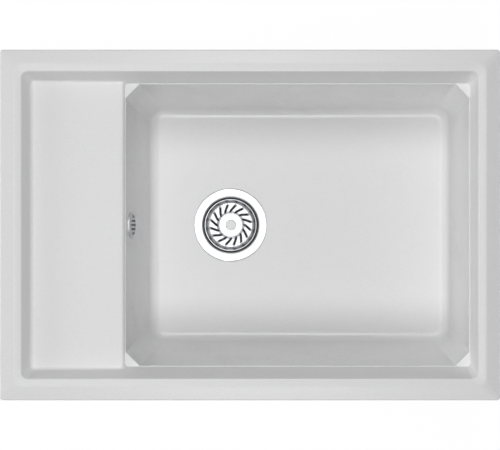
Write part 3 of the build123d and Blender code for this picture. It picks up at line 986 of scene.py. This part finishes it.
@dataclass
class BasketStrainer(SubAssembly):
    """The dish, the basket with its knob, and the tongues pressed down under the basket's slots.

    Sizes are in millimetres. A tongue's root, bend and tip are counted along its slot from the
    slot's middle. floor_z is the underside of the basket's floor, and a tongue's middle line
    starts under it by tongue_below of the sheet's thickness.
    """

    looks: dict[str, Look] = field(
        default_factory=lambda: {
            "strainer_dish": Look.DISH,
            "dish_gasket": Look.RUBBER,
            "body_gasket": Look.RUBBER,
            "basket": Look.BASKET,
            "basket_gasket": Look.RUBBER,
            "basket_stem": Look.TURNED,
            "basket_knob": Look.KNOB,
            "stem_ring": Look.RUBBER,
            "centre_screw": Look.TURNED,
        }
    )
    slots: SlotRing = BASKET_SLOTS
    tongue_root: float = 8.4
    tongue_bend: float = 6.2
    tongue_tip: float = 3.8
    tongue_drop: float = 2.6
    tongue_width: float = 2.9
    tongue_sheet: float = 0.7
    tongue_below: float = 0.45
    tongue_steps: int = 8
    floor_z: float = -199.7

    def tongue(self, tree: GeometryTree) -> Socket:
        """Press one curved tongue, which lies along X.

        Args:
            tree: the tree that it is made in.

        Returns:
            The tongue's mesh.
        """
        sheet = tree.size("Sheet", self.tongue_sheet * MM)
        width = tree.size("Width", self.tongue_width * MM)
        drop = tree.size("Drop", self.tongue_drop * MM)
        root = tree.size("Root", self.tongue_root * MM)
        bend = tree.size("Bend", self.tongue_bend * MM)
        tip = tree.size("Tip", self.tongue_tip * MM)
        top = sheet * -self.tongue_below
        line = tree.add(
            "GeometryNodeCurveQuadraticBezier",
            None,
            {
                "Resolution": self.tongue_steps,
                "Start": tree.join(root, 0.0, top),
                "Middle": tree.join(bend, 0.0, top),
                "End": tree.join(tip, 0.0, top - drop),
            },
        )
        strip = tree.add(
            "GeometryNodeCurvePrimitiveQuadrilateral", {"mode": "RECTANGLE"}, {0: width, 1: sheet}
        )
        return tree.swept(line.outputs[0], strip.outputs[0])

    def tongues(self) -> Piece:
        """Repeat the tongue under each slot, round the hub.

        Returns:
            The tongues, one mesh that turns with the basket.
        """
        tree = GeometryTree("slot_tongues")
        circle = tree.size("Slot Circle", self.slots.circle * MM)
        twist = tree.size("Twist", math.radians(self.slots.twist))
        count = tree.size("Count", self.slots.count)
        first = tree.size("Start", math.radians(self.slots.start))
        along = tree.placed(self.tongue(tree), turn=tree.join(0.0, 0.0, -twist))
        placed = tree.placed(along, tree.join(circle, 0.0, 0.0))
        points = tree.add("GeometryNodePoints", None, {"Count": count})
        number = Term(tree, tree.add("GeometryNodeInputIndex").outputs[0])
        turn = first + number * (math.tau / self.slots.count)
        ring = tree.add(
            "GeometryNodeInstanceOnPoints",
            None,
            {
                "Points": points.outputs[0],
                "Instance": placed,
                "Rotation": tree.join(0.0, 0.0, turn),
            },
        )
        x, y, _ = drain_axis()
        there = tree.placed(ring.outputs[0], (x, y, self.floor_z * MM))
        piece = tree.piece("basket_slot_tongues", there, self.wardrobe.material(Look.TONGUE))
        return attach(piece, Body.STRAINER_BASKET.value)

    def build(self) -> None:
        """Dress the strainer and add its tongues."""
        self.dress_nodes()
        made = self.tongues()
        log.info("pressed %s, faces %d", made.name, len(made.data.polygons))


@dataclass(frozen=True)
class Thread:
    """An outside pipe thread, from its spigot's free end back towards the fitting.

    Lengths are in millimetres, and crest and root are radii. The ridge goes down to foot under
    the root, and its foot_width and crest_width are shares of the pitch. In turns, run_out is
    how much of each end has no ridge and fade is how long the ridge takes to grow. blunt keeps
    its ends from shrinking to nought, and steps divide one turn. The last three lengths say
    how near a point has to be to the spigot's ends, to its surface and to a cut.
    """

    name: str
    end: Triple
    back: Triple
    length: float
    crest: float
    root: float
    pitch: float
    shoulder: bool = False
    foot: float = 0.08
    foot_width: float = 0.86
    crest_width: float = 0.16
    run_out: float = 0.8
    fade: float = 0.5
    blunt: float = 0.02
    steps: int = 72
    near: float = 0.01
    round_within: float = 0.06
    cut_within: float = 0.001

    def turned_length(self) -> float:
        """How much of the spigot is turned down: a quarter pitch less before a shoulder."""
        return self.length - self.pitch / 4 if self.shoulder else self.length

    def frame_matrix(self) -> Matrix:
        """Where the thread's own Z, which runs back from the free end, lies on the sink."""
        turn = Vector(self.back).to_track_quat("Z", "Y").to_matrix().to_4x4()
        return Matrix.Translation(Vector(self.end) * MM) @ turn

    def turn_down(self, mesh: bmesh.types.BMesh) -> None:
        """Bring the spigot's plain cylinder in to the thread's root.

        Args:
            mesh: a merged copy of the fitting, changed in place.
        """
        start, axis = Vector(self.end) * MM, Vector(self.back).normalized()
        if self.shoulder:
            for reach in (self.length, self.turned_length()):
                plane = start + axis * reach * MM
                parts = [*mesh.verts, *mesh.edges, *mesh.faces]
                bmesh.ops.bisect_plane(
                    mesh, geom=parts, dist=self.cut_within * MM, plane_co=plane, plane_no=axis
                )
        low, high = -self.near * MM, (self.turned_length() + self.near) * MM
        for vertex in mesh.verts:
            along = (vertex.co - start).dot(axis)
            foot = start + axis * along
            out = vertex.co - foot
            outside = abs(out.length - self.crest * MM) < self.round_within * MM
            if outside and low < along < high:
                vertex.co = foot + out.normalized() * self.root * MM

    def ridge(self, material: Material) -> Piece:
        """Wind the thread's ridge round its root.

        Args:
            material: the fitting's finish.

        Returns:
            The ridge, a plain mesh in place.
        """
        turns = self.length / self.pitch - 2 * self.run_out
        tree = GeometryTree(self.name)
        root = tree.size("Root Radius", self.root * MM)
        foot = tree.size("Foot Depth", self.foot * MM)
        height = tree.size("Ridge Height", (self.crest - self.root) * MM) + foot
        pitch = tree.size("Pitch", self.pitch * MM)
        length = tree.size("Length", (self.length - 2 * self.run_out * self.pitch) * MM)
        path = tree.add(
            "GeometryNodeCurveSpiral",
            None,
            {
                "Resolution": self.steps,
                "Rotations": length / pitch,
                "Start Radius": root,
                "End Radius": root,
                "Height": length,
            },
        )
        sides = {
            "Height": height,
            "Bottom Width": pitch * self.foot_width,
            "Top Width": pitch * self.crest_width,
            "Offset": 0.0,
        }
        form = tree.add("GeometryNodeCurvePrimitiveQuadrilateral", {"mode": "TRAPEZOID"}, sides)
        shift = tree.join(foot - height * 0.5, 0.0, 0.0)
        outward = tree.placed(form.outputs[0], shift, (0.0, 0.0, math.pi / 2))
        share = Term(tree, tree.add("GeometryNodeSplineParameter").outputs["Factor"])
        growth = share.lowest(1.0 - share).ease(-self.blunt, self.fade / turns)
        wound = tree.swept(path.outputs[0], outward, growth)
        lifted = tree.placed(wound, (0.0, 0.0, self.run_out * self.pitch * MM))
        piece = tree.piece(self.name, lifted, material)
        piece.data.transform(self.frame_matrix())
        return piece


@dataclass
class Fitting(SubAssembly):
    """Plastic fittings, one of which gets real threads in place of its plain spigots.

    merge_within is in millimetres and sharp_from in degrees.
    """

    turned_node: str = ""
    threads: tuple[Thread, ...] = ()
    merge_within: float = 0.002
    sharp_from: float = 28.0

    def threaded_copy(self) -> Piece:
        """Copy the fitting, merge it and turn its spigots down to their threads' roots.

        Returns:
            The copy, which stands for the fitting's node.
        """
        mesh = bmesh.new()
        mesh.from_mesh(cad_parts[self.turned_node].data)
        bmesh.ops.remove_doubles(mesh, verts=mesh.verts, dist=self.merge_within * MM)
        for thread in self.threads:
            thread.turn_down(mesh)
        mesh.verts.index_update()
        corners = [tuple(v.co) for v in mesh.verts]
        faces = [[v.index for v in face.verts] for face in mesh.faces]
        mesh.free()
        name = f"{self.turned_node}_turned"
        data = bpy.data.meshes.new(name)
        data.from_pydata(corners, [], faces)
        data.shade_smooth()
        data.set_sharp_from_angle(angle=math.radians(self.sharp_from))
        copy = bpy.data.objects.new(name, data)
        bpy.context.scene.collection.objects.link(copy)
        self.wardrobe.dress(copy, Look.WHITE)
        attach(copy, Body.SINK.value)
        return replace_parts(copy, self.turned_node)

    def build(self) -> None:
        """Dress the kept nodes, copy the threaded fitting and wind its threads."""
        self.dress_nodes()
        self.threaded_copy()
        for thread in self.threads:
            ridge = thread.ridge(self.wardrobe.material(Look.WHITE))
            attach(ridge, Body.SINK.value)
            log.info("wound %s, faces %d", ridge.name, len(ridge.data.polygons))


@dataclass
class WasteFitting(Fitting):
    """The waste body with its outlet and inlet threads, and the joint of the overflow's pipe."""

    looks: dict[str, Look] = field(
        default_factory=lambda: {"waste_joint_seal": Look.RUBBER, "waste_joint_nut": Look.WHITE}
    )
    turned_node: str = "waste_body"
    threads: tuple[Thread, ...] = (
        Thread(
            "waste_outlet_thread",
            end=(-30.0, 0.0, -270.0),
            back=(0.0, 0.0, 1.0),
            length=20.0,
            crest=23.9,
            root=22.7,
            pitch=2.309,
        ),
        Thread(
            "waste_inlet_thread",
            end=(-100.0, 0.0, -222.0),
            back=(1.0, 0.0, 0.0),
            length=18.0,
            crest=14.5,
            root=13.6,
            pitch=2.0,
            shoulder=True,
        ),
    )


@dataclass
class OverflowFitting(Fitting):
    """The overflow in the bowl's wall: its cap and bushing, the elbow behind it and the pipe."""

    looks: dict[str, Look] = field(
        default_factory=lambda: {
            "overflow_cap": Look.CAP,
            "overflow_bushing": Look.WHITE,
            "overflow_gasket": Look.RUBBER,
            "overflow_pipe": Look.WHITE,
            "elbow_joint_seal": Look.RUBBER,
            "elbow_joint_nut": Look.WHITE,
        }
    )
    turned_node: str = "overflow_elbow"
    threads: tuple[Thread, ...] = (
        Thread(
            "elbow_outlet_thread",
            end=(-202.282, 0.0, -86.9862),
            back=(-0.165048, 0.0, 0.986286),
            length=13.5,
            crest=14.5,
            root=13.6,
            pitch=2.0,
            shoulder=True,
        ),
    )


@dataclass
class WorktopFixings(SubAssembly):
    """The clips under the rim with their screws and dowels."""

    clip_count: int = 8

    def build(self) -> None:
        """Dress the clips, screws and dowels."""
        self.looks = {f"worktop_clip_{n}": Look.ZINC for n in range(1, self.clip_count + 1)}
        self.looks |= {"clip_screws": Look.ZINC, "clip_dowels": Look.GREY}
        self.dress_nodes()


# -------------------------------------------------------------------- studio


@dataclass(frozen=True)
class Softbox:
    """A round soft light that looks at the sink, placed by its height angle and its direction.

    Angles are in degrees, lengths in metres and the strength in watts.
    """

    name: str
    height_angle: float
    direction: float
    strength: float
    distance: float = 3.2
    width: float = 1.0

    def place(self) -> Vector:
        """Find where the light hangs.

        Returns:
            The place, in metres.
        """
        up, around = math.radians(self.height_angle), math.radians(self.direction)
        flat, rise = self.distance * math.cos(up), self.distance * math.sin(up)
        return Vector((flat * math.cos(around), flat * math.sin(around), rise))

    def make(self) -> Piece:
        """Hang the light.

        Returns:
            The lamp's object.
        """
        data = bpy.data.lights.new(self.name, "AREA")
        data.shape = "DISK"
        data.size = self.width
        data.energy = self.strength
        lamp = bpy.data.objects.new(self.name, data)
        bpy.context.scene.collection.objects.link(lamp)
        lamp.location = self.place()
        lamp.rotation_mode = "QUATERNION"
        lamp.rotation_quaternion = (-self.place()).to_track_quat("-Z", "Y")
        lamp.visible_camera = False
        return lamp


@dataclass
class Studio:
    """A pale floor, a plain world, soft lights and the camera above the sink.

    Lengths are in metres, the lens and the sensor in millimetres.
    """

    camera_rise: float = 2.495
    lens: float = 125.0
    sensor: float = 36.0
    floor_drop: float = 0.0015
    floor_half: float = 6.0
    floor_paper: Triple = (0.8, 0.8, 0.8)
    floor_white: float = 1.075
    floor_diffuse_share: float = 0.12
    ambient: float = 0.1
    ambient_colour: Triple = (1.0, 1.0, 1.0)
    lights: tuple[Softbox, ...] = (
        Softbox("light_front", 64.0, -90.0, 31.5),
        Softbox("light_back", 63.0, 90.0, 28.0),
        Softbox("light_drainboard_side", 15.0, 180.0, 25.5),
        Softbox("light_high", 78.0, 180.0, 7.7),
        Softbox("light_above", 90.0, 0.0, 3.0, distance=3.4, width=1.2),
    )

    @staticmethod
    def seen(tree: ShaderTree) -> Term:
        """Tell the rays that show the background from those that light the sink.

        Args:
            tree: the tree that asks.

        Returns:
            One for rays that come from the camera, a gloss or a clear piece, else nought.
        """
        path = tree.add("ShaderNodeLightPath")
        camera = Term(tree, path.outputs["Is Camera Ray"])
        gloss = Term(tree, path.outputs["Is Glossy Ray"])
        clear = Term(tree, path.outputs["Is Transmission Ray"])
        return camera.highest(gloss).highest(clear)

    def world(self) -> None:
        """A world that lights evenly and shows white."""
        world = bpy.data.worlds.new("studio_world")
        bpy.context.scene.world = world
        tree = ShaderTree(world)
        strength = self.ambient + self.seen(tree) * (1.0 - self.ambient)
        values = {"Color": (*self.ambient_colour, 1.0), "Strength": strength}
        background = tree.add("ShaderNodeBackground", None, values)
        tree.add("ShaderNodeOutputWorld", None, {0: background.outputs[0]})

    def floor(self) -> None:
        """The floor just under the waste's outlet, white with the sink's faint shadow."""
        z = cad_box[0].z - self.floor_drop
        half = self.floor_half
        mesh = bpy.data.meshes.new("floor")
        corners = [(-half, -half, z), (half, -half, z), (half, half, z), (-half, half, z)]
        mesh.from_pydata(corners, [], [(0, 1, 2, 3)])
        floor = bpy.data.objects.new("floor", mesh)
        bpy.context.scene.collection.objects.link(floor)
        material = bpy.data.materials.new("floor_paper")
        tree = ShaderTree(material)
        paper = tree.add("ShaderNodeBsdfDiffuse", None, {"Color": (*self.floor_paper, 1.0)})
        white = tree.add("ShaderNodeEmission", None, {"Strength": self.floor_white})
        share = self.seen(tree) * (1.0 - self.floor_diffuse_share)
        values = {0: share, 1: paper.outputs[0], 2: white.outputs[0]}
        mixed = tree.add("ShaderNodeMixShader", None, values)
        tree.add("ShaderNodeOutputMaterial", None, {0: mixed.outputs[0]})
        mesh.materials.append(material)

    def camera(self) -> None:
        """Look straight down on the sink, as the photograph does."""
        data = bpy.data.cameras.new("camera_above")
        data.lens = self.lens
        data.sensor_width = self.sensor
        camera = bpy.data.objects.new("camera_above", data)
        bpy.context.scene.collection.objects.link(camera)
        camera.location = (0.0, 0.0, cad_box[1].z + self.camera_rise)
        bpy.context.scene.camera = camera

    def build(self) -> None:
        """Set the whole studio up."""
        bpy.context.scene.view_settings.view_transform = "Standard"
        self.world()
        self.floor()
        for light in self.lights:
            log.info("hung %s", light.make().name)
        self.camera()


def main() -> None:
    """Set up the studio, dress the sink and add its fine pieces."""
    logging.basicConfig(level=logging.INFO, format="%(name)s: %(message)s")
    Studio().build()
    wardrobe = Wardrobe()
    for kind in (SinkBody, BasketStrainer, WasteFitting, OverflowFitting, WorktopFixings):
        kind(wardrobe).build()
        log.info("built %s", kind.__name__)


if __name__ == "__main__":
    main()
